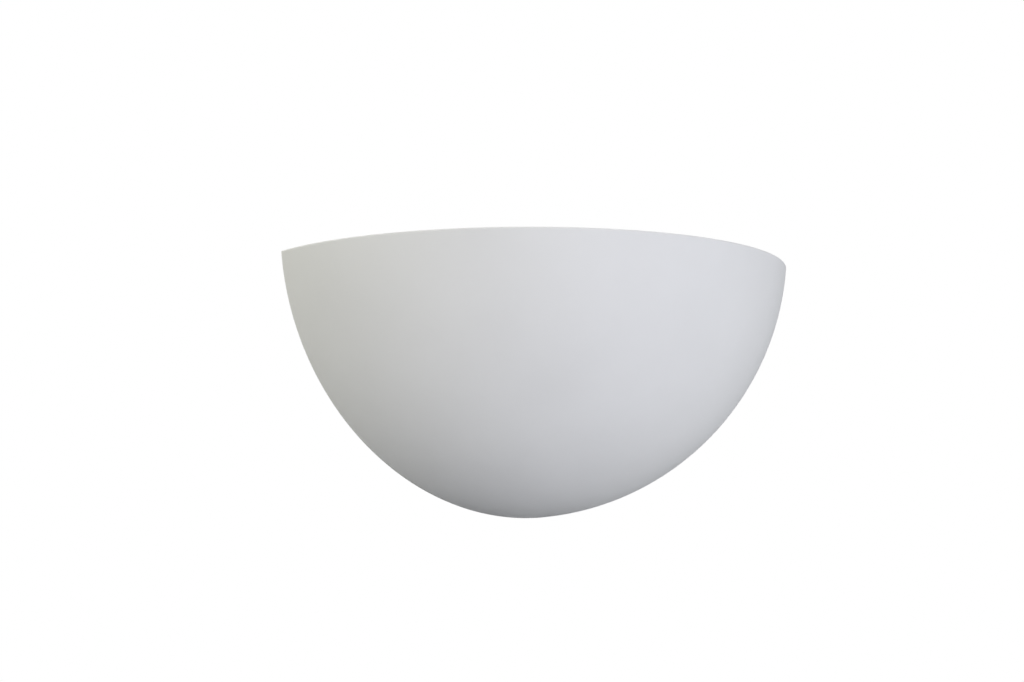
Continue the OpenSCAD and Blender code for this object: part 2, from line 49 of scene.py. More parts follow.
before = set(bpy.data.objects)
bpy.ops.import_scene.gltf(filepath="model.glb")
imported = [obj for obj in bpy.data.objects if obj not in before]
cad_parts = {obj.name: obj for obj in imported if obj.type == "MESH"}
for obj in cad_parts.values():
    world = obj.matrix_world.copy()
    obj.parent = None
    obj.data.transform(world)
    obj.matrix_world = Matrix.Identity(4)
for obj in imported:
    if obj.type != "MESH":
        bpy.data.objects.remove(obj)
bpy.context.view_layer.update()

MM = 0.001
FULL_TURN = 2 * math.pi
SHEET = 1.5 * MM  # thickness of the pressed steel
SCREW_BORE = 2.05 * MM  # radius of a small nut's bore
TOUCHES_AXIS = 1e-7
SHARP_ANGLE = math.radians(35)  # edges above it keep their corner
IMAGE_WIDTH = 1024  # pixels
SENSOR_WIDTH = 36.0  # millimetres, as Blender's cameras have it


# ---- Places and sizes that the frame gives ----


def low(node):
    return Vector(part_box(node)[0])


def high(node):
    return Vector(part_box(node)[1])


def middle(node):
    return (low(node) + high(node)) / 2


def radius_of(node):
    """Radius of a round piece, or of a row of them along x."""
    return (high(node).z - low(node).z) / 2


def middle_of_pair(node):
    """Distance from the fitting's middle to the centre of the right one of two round pieces."""
    return high(node).x - radius_of(node)


RIM_UP = high("bowl").z
HALF_WIDTH = -low("bowl").y
BOWL_HEIGHT = RIM_UP - low("bowl").z
RIM_DROP = (HALF_WIDTH**2 - BOWL_HEIGHT**2) / (2 * BOWL_HEIGHT)
BALL_RADIUS = BOWL_HEIGHT + RIM_DROP
CENTRE_UP = RIM_UP + RIM_DROP
LAMP_AXIS = middle("lamp_cap")


def off_wall(x, z, out):
    """Frame whose own +Z points from the wall into the room."""
    return Matrix(((1, 0, 0, x), (0, 0, -1, -out), (0, 1, 0, z), (0, 0, 0, 1)))


def on_lamp_axis(x=0.0):
    """Frame whose own +Z runs along the lamp's axis, out of the holder."""
    return Matrix(((0, 0, 1, x), (1, 0, 0, LAMP_AXIS.y), (0, 1, 0, LAMP_AXIS.z), (0, 0, 0, 1)))


def upright(z):
    return Matrix.Translation((0, 0, z))


# ---- What a user would change ----


def length(name, description, millimetres, least, most):
    return FloatProperty(
        name=name, description=description, default=millimetres * MM, min=least * MM,
        max=most * MM, precision=5, subtype="DISTANCE", unit="LENGTH",
    )


def colour(name, description, value):
    return FloatVectorProperty(
        name=name, description=description, default=value, size=3, min=0, max=1, subtype="COLOR"
    )


def strength(name, description, value):
    return FloatProperty(name=name, description=description, default=value, min=0, max=50)


class BowlLook(bpy.types.PropertyGroup):
    """The ceramic bowl."""

    wall: length("Wall", "Thickness of the ceramic", 7, 3, 12)
    rim_round: length("Rim round", "Radius of the rim's two edges", 1.0, 0.2, 3)
    back_round: length("Back round", "Radius of the edge that meets the wall", 0.7, 0.1, 2)
    lip: length("Lip", "Thickness of the lip that meets the wall", 4, 2, 6)
    flange_from: length("Flange from", "Distance of the flange's back from the wall", 3, 1, 6)
    flange_to: length("Flange to", "Distance of the flange's front from the wall", 10, 6, 16)
    flange_width: length("Flange width", "Width of the flange, from the bowl's outside", 26, 20, 40)
    fillet: length("Fillet", "Radius where the flange meets the inside", 4, 0.5, 8)
    clay: colour("Clay", "Colour of the painted ceramic", (0.80, 0.797, 0.785))
    around: IntProperty(
        name="Around", description="Faces round the bowl", default=256, min=48, max=512
    )


class LampLook(bpy.types.PropertyGroup):
    """The lamp and the thread that it turns in."""

    pitch: length("Pitch", "Pitch of the lamp's thread, seven to the inch", 25.4 / 7, 1, 6)
    depth: length("Depth", "Depth of the lamp's round thread", 0.9, 0.2, 1.5)
    globe: colour("Globe", "Colour of the opal globe", (0.88, 0.88, 0.86))


class MetalLook(bpy.types.PropertyGroup):
    """Screws, nuts, studs and the pressed steel."""

    screw_pitch: length("Screw pitch", "Pitch of the small screws", 0.7, 0.3, 1.5)
    nipple_pitch: length("Nipple pitch", "Pitch of the hollow nipple", 1.0, 0.5, 2)
    press_round: length("Press round", "Radius of the bracket's pressed edges", 1.2, 0.2, 3)
    paint: colour("Paint", "Colour of the bracket's powder coat", (0.83, 0.83, 0.81))


class WireLook(bpy.types.PropertyGroup):
    """The three inner wires."""

    radius: length("Radius", "Radius of a wire over its insulation", 1.1, 0.5, 2)
    copper: length("Copper", "Radius of a wire's bare end", 0.75, 0.3, 1.5)
    bare: length("Bare", "Length that is stripped at each end", 3.2, 1, 10)
    live: colour("Live", "Colour of the live wire", (0.16, 0.06, 0.025))
    neutral: colour("Neutral", "Colour of the neutral wire", (0.03, 0.11, 0.42))
    earth: colour("Earth", "Base colour of the earth wire", (0.05, 0.30, 0.06))
    stripe: colour("Stripe", "Colour of the earth wire's stripes", (0.80, 0.66, 0.03))


class StageLook(bpy.types.PropertyGroup):
    """Floor, light and camera."""

    floor_drop: length("Floor drop", "Height of the wall slots above the floor", 1800, 200, 5000)
    floor_size: length("Floor size", "Width of the round floor", 2400, 1000, 5000)
    floor_tone: colour("Floor tone", "Colour of the pale floor", (0.84, 0.87, 0.92))
    front_light: strength("Front light", "Strength of the soft light before the bowl", 7.3)
    low_light: strength("Low light", "Strength of the low light before it, to its right", 13.9)
    left_light: strength("Left light", "Strength of the light on the left", 4.35)
    right_light: strength("Right light", "Strength of the light on the right", 0.3)
    back_light: strength("Back light", "Strength of the light behind the bowl", 1.7)
    top_light: strength("Top light", "Strength of the light overhead", 7.0)


class SconceLook(bpy.types.PropertyGroup):
    """Everything that the panel shows."""

    bowl: PointerProperty(type=BowlLook)
    lamp: PointerProperty(type=LampLook)
    metal: PointerProperty(type=MetalLook)
    wires: PointerProperty(type=WireLook)
    stage: PointerProperty(type=StageLook)


# ---- Meshes ----


def new_object(name, mesh):
    piece = bpy.data.objects.new(name, mesh)
    bpy.context.scene.collection.objects.link(piece)
    return piece


def object_from(name, bm):
    """Plain object from a mesh in the making, which is used up."""
    mesh = bpy.data.meshes.new(name)
    bm.to_mesh(mesh)
    bm.free()
    return new_object(name, mesh)


def closed_skin(name, bm):
    """Object from a closed skin, with its faces turned outwards."""
    bmesh.ops.recalc_face_normals(bm, faces=bm.faces)
    return object_from(name, bm)


def block(name, centre, size):
    bm = bmesh.new()
    place = Matrix.Translation(centre) @ Matrix.Diagonal((*size, 1))
    bmesh.ops.create_cube(bm, size=1, matrix=place)
    return object_from(name, bm)


def turned(name, place, stations, around):
    """Closed skin through rings of (along, radius). A radius may be a function of the angle.

    The rings run from the axis back to the axis, or once round a closed outline.
    """
    bm = bmesh.new()
    rings = []
    for along, radius in stations:
        if not callable(radius) and radius < TOUCHES_AXIS:
            rings.append([bm.verts.new(place @ Vector((0, 0, along)))])
            continue
        ring = []
        for k in range(around):
            angle = FULL_TURN * k / around
            reach = radius(angle) if callable(radius) else radius
            point = Vector((reach * math.cos(angle), reach * math.sin(angle), along))
            ring.append(bm.verts.new(place @ point))
        rings.append(ring)
    for near, far in zip(rings, rings[1:] + rings[:1]):
        if len(near) == 1 and len(far) == 1:
            continue
        for k in range(around):
            corners = []
            for ring, step in ((near, k), (near, k + 1), (far, k + 1), (far, k)):
                corner = ring[step % len(ring)]
                if corner not in corners:
                    corners.append(corner)
            bm.faces.new(corners)
    return closed_skin(name, bm)


def arc(centre, radius, start, end, steps):
    """Points (along, radius) of an arc. The angle runs from the radial direction to the axis's."""
    points = []
    for k in range(steps + 1):
        angle = math.radians(start + (end - start) * k / steps)
        out, across = radius * math.sin(angle), radius * math.cos(angle)
        points.append((centre[0] + out, centre[1] + across))
    return points


def evaluated(piece):
    """Turns the piece, with its modifiers applied, into a plain mesh."""
    graph = bpy.context.evaluated_depsgraph_get()
    mesh = bpy.data.meshes.new_from_object(piece.evaluated_get(graph))
    piece.modifiers.clear()
    old = piece.data
    piece.data = mesh
    bpy.data.meshes.remove(old)
    mesh.name = piece.name


def carve(piece, tool, operation):
    """Applies one exact boolean to the piece and deletes the tool."""
    modifier = piece.modifiers.new("carve", "BOOLEAN")
    modifier.operation = operation
    modifier.object = tool
    modifier.solver = "EXACT"
    evaluated(piece)
    mesh = tool.data
    bpy.data.objects.remove(tool)
    bpy.data.meshes.remove(mesh)
    return piece


def smooth_shaded(piece):
    """Smooth shading that keeps its flat faces flat and its real corners sharp."""
    piece.data.shade_smooth()
    piece.data.set_sharp_from_angle(angle=SHARP_ANGLE)
    weights = piece.modifiers.new("flat_faces", "WEIGHTED_NORMAL")
    weights.keep_sharp = True
    weights.weight = 80


def softened(node, width, segments=2, wide=None):
    """Copy of a frame piece with its loose triangles joined and its edges rounded.

    wide tests an edge's two ends. Where it fails, the edge gets only a fine round.
    """
    fine_share = 0.15
    bm = bmesh.new()
    bm.from_mesh(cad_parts[node].data)
    bmesh.ops.remove_doubles(bm, verts=bm.verts, dist=0.002 * MM)
    bmesh.ops.dissolve_limit(bm, angle_limit=math.radians(1), verts=bm.verts, edges=bm.edges)
    weight = bm.edges.layers.float.new("bevel_weight_edge")
    for edge in bm.edges:
        if len(edge.link_faces) == 2 and edge.calc_face_angle(0) > SHARP_ANGLE:
            full = wide is None or wide(*(corner.co for corner in edge.verts))
            edge[weight] = 1.0 if full else fine_share
    piece = object_from(node + "_finish", bm)
    bevel = piece.modifiers.new("round", "BEVEL")
    bevel.limit_method = "WEIGHT"
    bevel.width = width
    bevel.segments = segments
    bevel.use_clamp_overlap = True
    bevel.loop_slide = False  # a slide turns slivers over beside the holes
    return piece


def settle(piece, body, slot, *nodes, material=None):
    """Gives a piece its shading, body and finish, and hides the frame pieces that it stands for."""
    smooth_shaded(piece)
    piece.data.materials.clear()
    piece.data.materials.append(finish(material or slot))
    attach(piece, body)
    if nodes:
        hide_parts(*nodes)


def settle_softened(body, *pieces, segments=2):
    """Settles frame pieces with rounded edges: node, slot, and round in millimetres."""
    for node, slot, width in pieces:
        settle(softened(node, width * MM, segments), body, slot, node)


# ---- Threads, nuts and screws ----


def vee(phase):
    """Depth of a sharp thread, from 0 at its flat crest to 1 at its flat root."""
    flat = 0.12
    return min(1.0, max(0.0, (2 * abs(phase - 0.5) - flat) / (1 - 2 * flat)))


def wave(phase):
    """Depth of a round thread, from 0 at its crest to 1 at its root."""
    return 0.5 - 0.5 * math.cos(FULL_TURN * (phase - 0.5))


def thread(start, end, crest, depth, pitch, shape, fade, rings=8):
    """Stations of a right-handed thread. It runs out to a plain cylinder over the fade length."""
    count = max(2, round(rings * (end - start) / pitch))
    stations = []
    for k in range(count + 1):
        along = start + (end - start) * k / count
        room = min(along - start, end - along)
        ease = min(1.0, max(0.0, room / fade)) if fade else 1.0

        def radius(angle, along=along, ease=ease):
            phase = (along / pitch - angle / FULL_TURN) % 1.0
            return crest - depth * (shape(phase) * ease + (1 - ease))

        stations.append((along, radius))
    return stations


def nut(name, place, across, bore, thickness):
    """Hexagon nut with its corners taken off and a countersunk bore, lying on its base."""
    flat = across / 2
    corner = flat / math.cos(math.pi / 6) * 0.96

    def side(angle):
        turn = (angle + math.pi / 6) % (math.pi / 3) - math.pi / 6
        return min(flat / math.cos(turn), corner)

    def eased(angle):
        return min(side(angle), flat * 0.97)

    lead = thickness * 0.12
    sink = bore * 0.1
    outline = [(0, eased), (lead, side), (thickness - lead, side), (thickness, eased)]
    outline += [(thickness, bore + sink), (thickness - sink, bore), (sink, bore), (0, bore + sink)]
    return turned(name, place, outline, 96)


def screw(name, shank, length_below, head, head_height, slot_width):
    """Pan-headed screw with a slot. Its own +Z points out of the head, whose base is at 0.

    The bare numbers are shares of the head's radius, its height and the shank's radius.
    """
    pitch = look().metal.screw_pitch
    end = length_below
    dome = [(0.0, head * 0.985), (head_height * 0.08, head)]
    dome += arc((head_height * 0.55, head * 0.72), head * 0.28, 0, 70, 5)
    dome += [(head_height, head * 0.5), (head_height, 0)]
    stations = [(-end, 0), (-end, shank * 0.72)]
    stations += thread(-end, -0.1 * MM, shank, shank * 0.16, pitch, vee, pitch * 0.7)
    piece = turned(name, Matrix(), stations + dome, 32)
    slot = block(name + "_slot", (0, 0, head_height), (head * 4, slot_width, head_height * 0.9))
    return carve(piece, slot, "DIFFERENCE")


def spread(low_end, high_end, reach, count):
    """First place and step of round pieces of one reach that fill a length."""
    if count == 1:
        return (low_end + high_end) / 2, 0
    first = low_end + reach
    return first, (high_end - reach - first) / (count - 1)


def slotted_screws(name, node, slot, shank, head, head_height, slot_width, columns=1, rows=1):
    """Screws of one size in rows and columns, set where the frame has them."""
    lowest, highest = low(node), high(node)
    seat = lowest.y + head_height
    piece = screw(name, shank, highest.y - seat, head, head_height, slot_width)
    x, column = spread(lowest.x, highest.x, head, columns)
    z, row = spread(lowest.z, highest.z, head, rows)
    repeated(piece, slot, (x, seat, z), columns, (column, 0, 0), rows, (0, 0, row))
    settle(piece, "fitting", slot, node)


# ---- Node trees ----

FLOAT, VECTOR, COLOUR = "NodeSocketFloat", "NodeSocketVector", "NodeSocketColor"
WHOLE, GEOMETRY = "NodeSocketInt", "NodeSocketGeometry"


def new_tree(name, kind, inputs, outputs):
    """Tree with named sockets, each of a kind and maybe with a default, and its two end nodes."""
    tree = bpy.data.node_groups.new(name, kind)
    for label, socket_kind, *default in inputs:
        socket = tree.interface.new_socket(label, in_out="INPUT", socket_type=socket_kind)
        if default:
            socket.default_value = default[0]
    for label, socket_kind in outputs:
        tree.interface.new_socket(label, in_out="OUTPUT", socket_type=socket_kind)
    return tree, tree.nodes.new("NodeGroupInput"), tree.nodes.new("NodeGroupOutput")


def fill(node, **values):
    """Sets a node's inputs by their names, whose spaces are underscores."""
    for name, value in values.items():
        node.inputs[name.replace("_", " ")].default_value = value
    return node


def put(tree, kind, operation=None, group=None, **values):
    """New node, with values for its inputs."""
    node = tree.nodes.new(kind)
    if operation:
        node.operation = operation
    if group:
        node.node_tree = group
    return fill(node, **values)


def join(tree, *links):
    """Links sockets: a node and its output, then a node and its input."""
    for source, output, target, entry in links:
        tree.links.new(source.outputs[output], target.inputs[entry])


@cache
def repeat_tree():
    """Tree that sets copies of its geometry in rows and columns, each turned alike."""
    tree, given, result = new_tree(
        "rows_of_copies",
        "GeometryNodeTree",
        (
            ("Geometry", GEOMETRY), ("Columns", WHOLE, 2), ("Rows", WHOLE, 1),
            ("First", VECTOR, (0, 0, 0)), ("Column Step", VECTOR, (1, 0, 0)),
            ("Row Step", VECTOR, (0, 0, 1)), ("Turn", "NodeSocketRotation"),
            ("Material", "NodeSocketMaterial"),
        ),
        (("Geometry", GEOMETRY),),
    )
    columns, rows = (put(tree, "GeometryNodeMeshLine") for _ in range(2))
    grid, copies = (put(tree, "GeometryNodeInstanceOnPoints") for _ in range(2))
    points, real = (put(tree, "GeometryNodeRealizeInstances") for _ in range(2))
    paint = put(tree, "GeometryNodeSetMaterial")
    join(
        tree,
        (given, "Columns", columns, "Count"), (given, "First", columns, "Start Location"),
        (given, "Column Step", columns, "Offset"), (given, "Rows", rows, "Count"),
        (given, "Row Step", rows, "Offset"), (columns, "Mesh", grid, "Points"),
        (rows, "Mesh", grid, "Instance"), (grid, "Instances", points, "Geometry"),
        (points, "Geometry", copies, "Points"), (given, "Geometry", copies, "Instance"),
        (given, "Turn", copies, "Rotation"), (copies, "Instances", real, "Geometry"),
        (real, "Geometry", paint, "Geometry"), (given, "Material", paint, "Material"),
        (paint, "Geometry", result, "Geometry"),
    )
    return tree


def grow(piece, tree, **values):
    """Runs a tree on a piece, with values by the names of its inputs, and keeps the plain mesh."""
    modifier = piece.modifiers.new(tree.name, "NODES")
    modifier.node_group = tree
    for item in tree.interface.items_tree:
        key = item.name.lower().replace(" ", "_")
        if item.item_type == "SOCKET" and item.in_out == "INPUT" and key in values:
            modifier[item.identifier] = values[key]
    evaluated(piece)


def repeated(piece, slot, first, columns=1, column_step=(0, 0, 0), rows=1, row_step=(0, 0, 0)):
    """Sets copies of a piece in rows and columns. Its own +Z comes to point off the wall."""
    grow(
        piece, repeat_tree(), columns=columns, rows=rows, first=first, column_step=column_step,
        row_step=row_step, turn=off_wall(0, 0, 0).to_euler(), material=finish(slot),
    )


@cache
def grain_group():
    """Fine grain and slow waves of a surface: a height for its bump, and a mask for its gloss."""
    group, given, result = new_tree(
        "surface_grain",
        "ShaderNodeTree",
        (
            ("Grain Scale", FLOAT, 900), ("Wave Scale", FLOAT, 20), ("Wave Share", FLOAT, 0.5),
            ("Stretch", VECTOR, (1, 1, 1)), ("Gloss From", FLOAT, 0.4), ("Gloss To", FLOAT, 0.5),
        ),
        (("Height", FLOAT), ("Roughness", FLOAT)),
    )
    place = put(group, "ShaderNodeTexCoord")
    stretch = put(group, "ShaderNodeVectorMath", "MULTIPLY")
    fine = put(group, "ShaderNodeTexNoise", Detail=3)
    slow = put(group, "ShaderNodeTexNoise", Detail=1)
    blend = put(group, "ShaderNodeMix")
    gloss = put(group, "ShaderNodeMapRange", From_Min=0.3, From_Max=0.7)
    join(
        group,
        (place, "Object", stretch, 0), (given, "Stretch", stretch, 1),
        (stretch, "Vector", fine, "Vector"), (place, "Object", slow, "Vector"),
        (given, "Grain Scale", fine, "Scale"), (given, "Wave Scale", slow, "Scale"),
        (given, "Wave Share", blend, "Factor"), (fine, "Fac", blend, "A"),
        (slow, "Fac", blend, "B"), (blend, "Result", result, "Height"),
        (fine, "Fac", gloss, "Value"), (given, "Gloss From", gloss, "To Min"),
        (given, "Gloss To", gloss, "To Max"), (gloss, "Result", result, "Roughness"),
    )
    return group


@cache
def drift_group():
    """Slow change of tone over a surface, between a colour and a darker shade of it."""
    group, given, result = new_tree(
        "tone_drift",
        "ShaderNodeTree",
        (
            ("Colour", COLOUR, (0.8, 0.8, 0.8, 1)), ("Shade", COLOUR, (0.7, 0.7, 0.7, 1)),
            ("Scale", FLOAT, 30),
        ),
        (("Colour", COLOUR),),
    )
    cloud = put(group, "ShaderNodeTexNoise", Detail=5)
    share = put(group, "ShaderNodeMapRange", From_Min=0.35, From_Max=0.7)
    mix = put(group, "ShaderNodeMix")
    mix.data_type = "RGBA"
    join(
        group,
        (put(group, "ShaderNodeTexCoord"), "Object", cloud, "Vector"),
        (given, "Scale", cloud, "Scale"), (cloud, "Fac", share, "Value"),
        (share, "Result", mix, "Factor"), (given, "Colour", mix, "A"), (given, "Shade", mix, "B"),
        (mix, "Result", result, "Colour"),
    )
    return group


@cache
def lobe_group():
    """One soft light in the sky, brightest towards its direction. It ends below the horizon."""
    group, given, result = new_tree(
        "soft_lobe",
        "ShaderNodeTree",
        (
            ("Colour", COLOUR, (1, 1, 1, 1)), ("Strength", FLOAT, 1),
            ("Direction", VECTOR, (0, 0, 1)), ("Focus", FLOAT, 4),
        ),
        (("Light", COLOUR),),
    )
    sky = put(group, "ShaderNodeTexCoord")
    facing = put(group, "ShaderNodeVectorMath", "DOT_PRODUCT")
    ahead = put(group, "ShaderNodeMath", "MAXIMUM")
    ahead.inputs[1].default_value = 0
    fade = put(group, "ShaderNodeMath", "POWER")
    power = put(group, "ShaderNodeMath", "MULTIPLY")
    height = put(group, "ShaderNodeSeparateXYZ")
    horizon = put(group, "ShaderNodeMapRange", From_Min=-0.30, From_Max=-0.20)
    above = put(group, "ShaderNodeMath", "MULTIPLY")
    light = put(group, "ShaderNodeVectorMath", "SCALE")
    join(
        group,
        (sky, "Generated", facing, 0), (given, "Direction", facing, 1),
        (facing, "Value", ahead, 0), (ahead, 0, fade, 0), (given, "Focus", fade, 1),
        (fade, 0, power, 0), (given, "Strength", power, 1), (sky, "Generated", height, "Vector"),
        (height, "Z", horizon, "Value"), (power, 0, above, 0), (horizon, "Result", above, 1),
        (given, "Colour", light, 0), (above, 0, light, "Scale"),
        (light, "Vector", result, "Light"),
    )
    return group


# ---- Finishes ----

METAL = {"Metallic": 1.0}
SOFT_LIGHT = {"Subsurface_Radius": (1.0, 1.0, 1.0)}
INSULATION = (0.85, (0.36, 0.5), 1500, 0.03, {"drift": 80, "Coat_Weight": 0.1})

# Each slot's tone, the shade that it drifts to, its roughness from and to, its grain's scale, its
# bump in millimetres, and the rest. A tone in quotes is the panel's, and its shade a share of it.
FINISHES = {
    "bowl_ceramic": (
        "bowl.clay", 0.965, (0.52, 0.66), 1400, 0.06,
        {"wave": 16, "wave_share": 0.35, "drift": 14, "Specular_IOR_Level": 0.35},
    ),
    "bracket_paint": (
        "metal.paint", 0.95, (0.38, 0.5), 1100, 0.05,
        {"wave_share": 0.1, "drift": 60, "Coat_Weight": 0.15, "Coat_Roughness": 0.3},
    ),
    "bush_rubber": (
        (0.055, 0.055, 0.058), (0.085, 0.083, 0.08), (0.7, 0.9), 1600, 0.04, {"drift": 120},
    ),
    "zinc_steel": (
        (0.62, 0.64, 0.67), (0.54, 0.56, 0.60), (0.31, 0.35), 1600, 0.002, {"drift": 320, **METAL},
    ),
    "nickel_steel": (
        (0.68, 0.65, 0.60), (0.62, 0.60, 0.56), (0.29, 0.32), 2600, 0.002, {"drift": 160, **METAL},
    ),
    "brass": (
        (0.76, 0.55, 0.26), (0.66, 0.46, 0.20), (0.30, 0.34), 1800, 0.002, {"drift": 170, **METAL},
    ),
    "solder": (
        (0.56, 0.56, 0.57), (0.46, 0.46, 0.48), (0.36, 0.46), 900, 0.02,
        {"drift": 420, "wave": 500, "wave_share": 0.7, **METAL},
    ),
    "tinned_copper": (
        (0.68, 0.66, 0.62), (0.60, 0.56, 0.50), (0.32, 0.38), 1400, 0.004, {"drift": 260, **METAL},
    ),
    "bare_copper": (
        (0.75, 0.36, 0.20), (0.64, 0.29, 0.15), (0.30, 0.36), 2600, 0.01,
        {"drift": 300, "stretch": (1, 1, 0.2), **METAL},
    ),
    "nylon": (
        (0.80, 0.78, 0.71), (0.74, 0.72, 0.64), (0.42, 0.55), 1500, 0.03,
        {"drift": 90, "Subsurface_Weight": 0.15, "Subsurface_Scale": 0.002, **SOFT_LIGHT},
    ),
    "holder_plastic": (
        (0.80, 0.79, 0.75), (0.785, 0.775, 0.735), (0.28, 0.34), 1400, 0.003,
        {"drift": 50, "Coat_Weight": 0.2, "Coat_Roughness": 0.15},
    ),
    "porcelain": (
        (0.83, 0.81, 0.75), (0.75, 0.72, 0.65), (0.55, 0.75), 2200, 0.04, {"drift": 110},
    ),
    "opal_plastic": (
        "lamp.globe", 0.985, (0.36, 0.44), 1800, 0.004,
        {"drift": 30, "Subsurface_Weight": 0.3, "Subsurface_Scale": 0.006, **SOFT_LIGHT},
    ),
    "lamp_plastic": (
        (0.84, 0.84, 0.83), (0.825, 0.825, 0.815), (0.32, 0.38), 1500, 0.004, {"drift": 40},
    ),
    "black_glass": (
        (0.015, 0.015, 0.018), (0.03, 0.03, 0.032), (0.06, 0.16), 700, 0.02,
        {"drift": 200, "Coat_Weight": 0.6, "Coat_Roughness": 0.05},
    ),
    "wire_brown": ("wires.live", *INSULATION),
    "wire_blue": ("wires.neutral", *INSULATION),
    "wire_green": ("wires.earth", *INSULATION),
    "floor_paint": ("stage.floor_tone", 0.98, (0.85, 0.95), 60, 0.1, {"drift": 2}),
}


def look():
    return bpy.context.scene.sconce


def surface(
    name, tone, shade, gloss, grain, bump,
    drift, wave=20, wave_share=0.2, stretch=(1, 1, 1), **sockets
):
    """Material with drifting tone, grain in its gloss and a fine bump."""
    material = bpy.data.materials.new(name)
    material.use_nodes = True
    tree = material.node_tree
    shader = fill(tree.nodes["Principled BSDF"], **sockets)
    tones = put(
        tree, "ShaderNodeGroup", group=drift_group(), Colour=(*tone, 1), Shade=(*shade, 1),
        Scale=drift,
    )
    grains = put(
        tree, "ShaderNodeGroup", group=grain_group(), Grain_Scale=grain, Wave_Scale=wave,
        Wave_Share=wave_share, Stretch=stretch, Gloss_From=gloss[0], Gloss_To=gloss[1],
    )
    relief = put(tree, "ShaderNodeBump", Distance=bump * MM)
    join(
        tree,
        (tones, "Colour", shader, "Base Color"), (grains, "Roughness", shader, "Roughness"),
        (grains, "Height", relief, "Height"), (relief, "Normal", shader, "Normal"),
    )
    return material


def add_stripes(material):
    """Two stripes along a wire, which follow it by its stripe attribute."""
    tree = material.node_tree
    shader = tree.nodes["Principled BSDF"]
    tones = shader.inputs["Base Color"].links[0].from_node
    stripe = put(tree, "ShaderNodeAttribute")
    stripe.attribute_name = "stripe"
    edge = put(tree, "ShaderNodeMapRange", From_Min=0.45, From_Max=0.55)
    mix = put(tree, "ShaderNodeMix")
    mix.data_type = "RGBA"
    mix.inputs["B"].default_value = (*look().wires.stripe, 1)
    join(
        tree,
        (stripe, "Fac", edge, "Value"), (edge, "Result", mix, "Factor"),
        (tones, "Colour", mix, "A"), (mix, "Result", shader, "Base Color"),
    )


@cache
def finish(slot):
    """The one material of a slot, made when it is first asked for."""
    tone, shade, gloss, grain, bump, rest = FINISHES[slot]
    if isinstance(tone, str):
        tone = tuple(attrgetter(tone)(look()))
        shade = tuple(channel * shade for channel in tone)
    material = surface(slot, tone, shade, gloss, grain, bump, **rest)
    if slot == "wire_green":
        add_stripes(material)
    return material


# ---- Bowl ----


def bowl_outline(size):
    """Outline (along, radius) of the bowl, turned about the axis that stands out of the wall.

    It runs over the outside, the back edge, the lip, the flange, its fillet and the inside.
    """
    ball = BALL_RADIUS
    inside = ball - size.wall
    hole = ball - size.flange_width
    edge = size.back_round
    fillet = size.fillet
    small = 0.5 * MM  # round of the lip and of the flange
    seat = math.sqrt((ball - edge) ** 2 - edge**2)
    back = math.degrees(math.atan2(edge, seat))
    outline = arc((0, 0), ball, 90, back, 64)
    outline += arc((edge, seat), edge, back, -90, 6)[1:]
    recess = ball - size.lip
    outline += arc((small, recess + small), small, 270, 180, 3)
    corner = size.flange_from
    outline += [(corner, math.sqrt(recess**2 - corner**2))]
    outline += arc((corner + small, hole + small), small, 270, 180, 3)
    front = size.flange_to
    outline += arc((front - small, hole + small), small, 180, 90, 3)
    fillet_seat = math.sqrt((inside - fillet) ** 2 - (front + fillet) ** 2)
    inner = math.degrees(math.atan2(front + fillet, fillet_seat))
    outline += arc((front + fillet, fillet_seat), fillet, -90, inner, 8)
    outline += arc((0, 0), inside, inner, 90, 60)[1:]
    outline[0] = (ball, 0.0)
    outline[-1] = (inside, 0.0)
    return outline


def rim_bend(edge, reach, side):
    """Round between the rim and the ball's outside (side 1) or inside (-1), and a way past it."""
    steps = 4
    step = 90 / steps
    bend = arc((-edge, reach), edge, 90, 90 - side * (90 - step), steps - 1)
    down, across = math.cos(math.radians(step)), math.sin(math.radians(step))
    last = bend[-1]
    return bend + [(last[0] - 2 * edge * down, last[1] + side * 2 * edge * across)]


def rim_blank(size):
    """Solid that keeps what lies below the rim and rounds the rim's outer edge."""
    edge = size.rim_round
    reach = math.sqrt((BALL_RADIUS - edge) ** 2 - (RIM_DROP + edge) ** 2)
    bend = rim_bend(edge, reach, 1)
    far = BALL_RADIUS + 10 * MM
    bottom = -BALL_RADIUS - 30 * MM
    outline = [(0, 0)] + bend + [(bend[-1][0], far), (bottom, far), (bottom, 0)]
    return turned("rim_blank", upright(RIM_UP), outline, size.around)


def rim_scraper(size):
    """Ring-shaped tool that rounds the rim's inner edge."""
    edge = size.rim_round
    reach = math.sqrt((BALL_RADIUS - size.wall + edge) ** 2 - (RIM_DROP + edge) ** 2)
    bend = rim_bend(edge, reach, -1)
    inner = reach - 6 * edge
    clear = 3 * MM
    outline = bend + [(bend[-1][0], inner), (clear, inner), (clear, reach)]
    return turned("rim_scraper", upright(RIM_UP), outline, size.around)


class SCONCE_OT_bowl(bpy.types.Operator):
    """Makes the ceramic bowl: a turned shell with its flange, cut level at the rim"""

    bl_idname = "sconce.bowl"
    bl_label = "Bowl"

    def execute(self, context):
        size = look().bowl
        piece = turned("bowl_shell", off_wall(0, CENTRE_UP, 0), bowl_outline(size), size.around)
        carve(piece, rim_blank(size), "INTERSECT")
        scraper = rim_scraper(size)
        reach = BALL_RADIUS + 20 * MM
        lowest = Vector((-reach, -reach, 0))
        highest = Vector((reach, -size.flange_to - size.fillet / 4, reach))
        room = block("room", (highest + lowest) / 2, highest - lowest)
        carve(scraper, room, "INTERSECT")
        carve(piece, scraper, "DIFFERENCE")
        hole = radius_of("bowl_studs") - 0.5 * MM
        out = size.flange_to + MM
        for side in (-1, 1):
            place = off_wall(side * middle_of_pair("bowl_studs"), 0, 0)
            drill = turned("stud_hole", place, [(-MM, 0), (-MM, hole), (out, hole), (out, 0)], 48)
            carve(piece, drill, "DIFFERENCE")
        settle(piece, "fitting", "bowl_ceramic", "bowl")
        return {"FINISHED"}


# ---- What holds the bowl ----


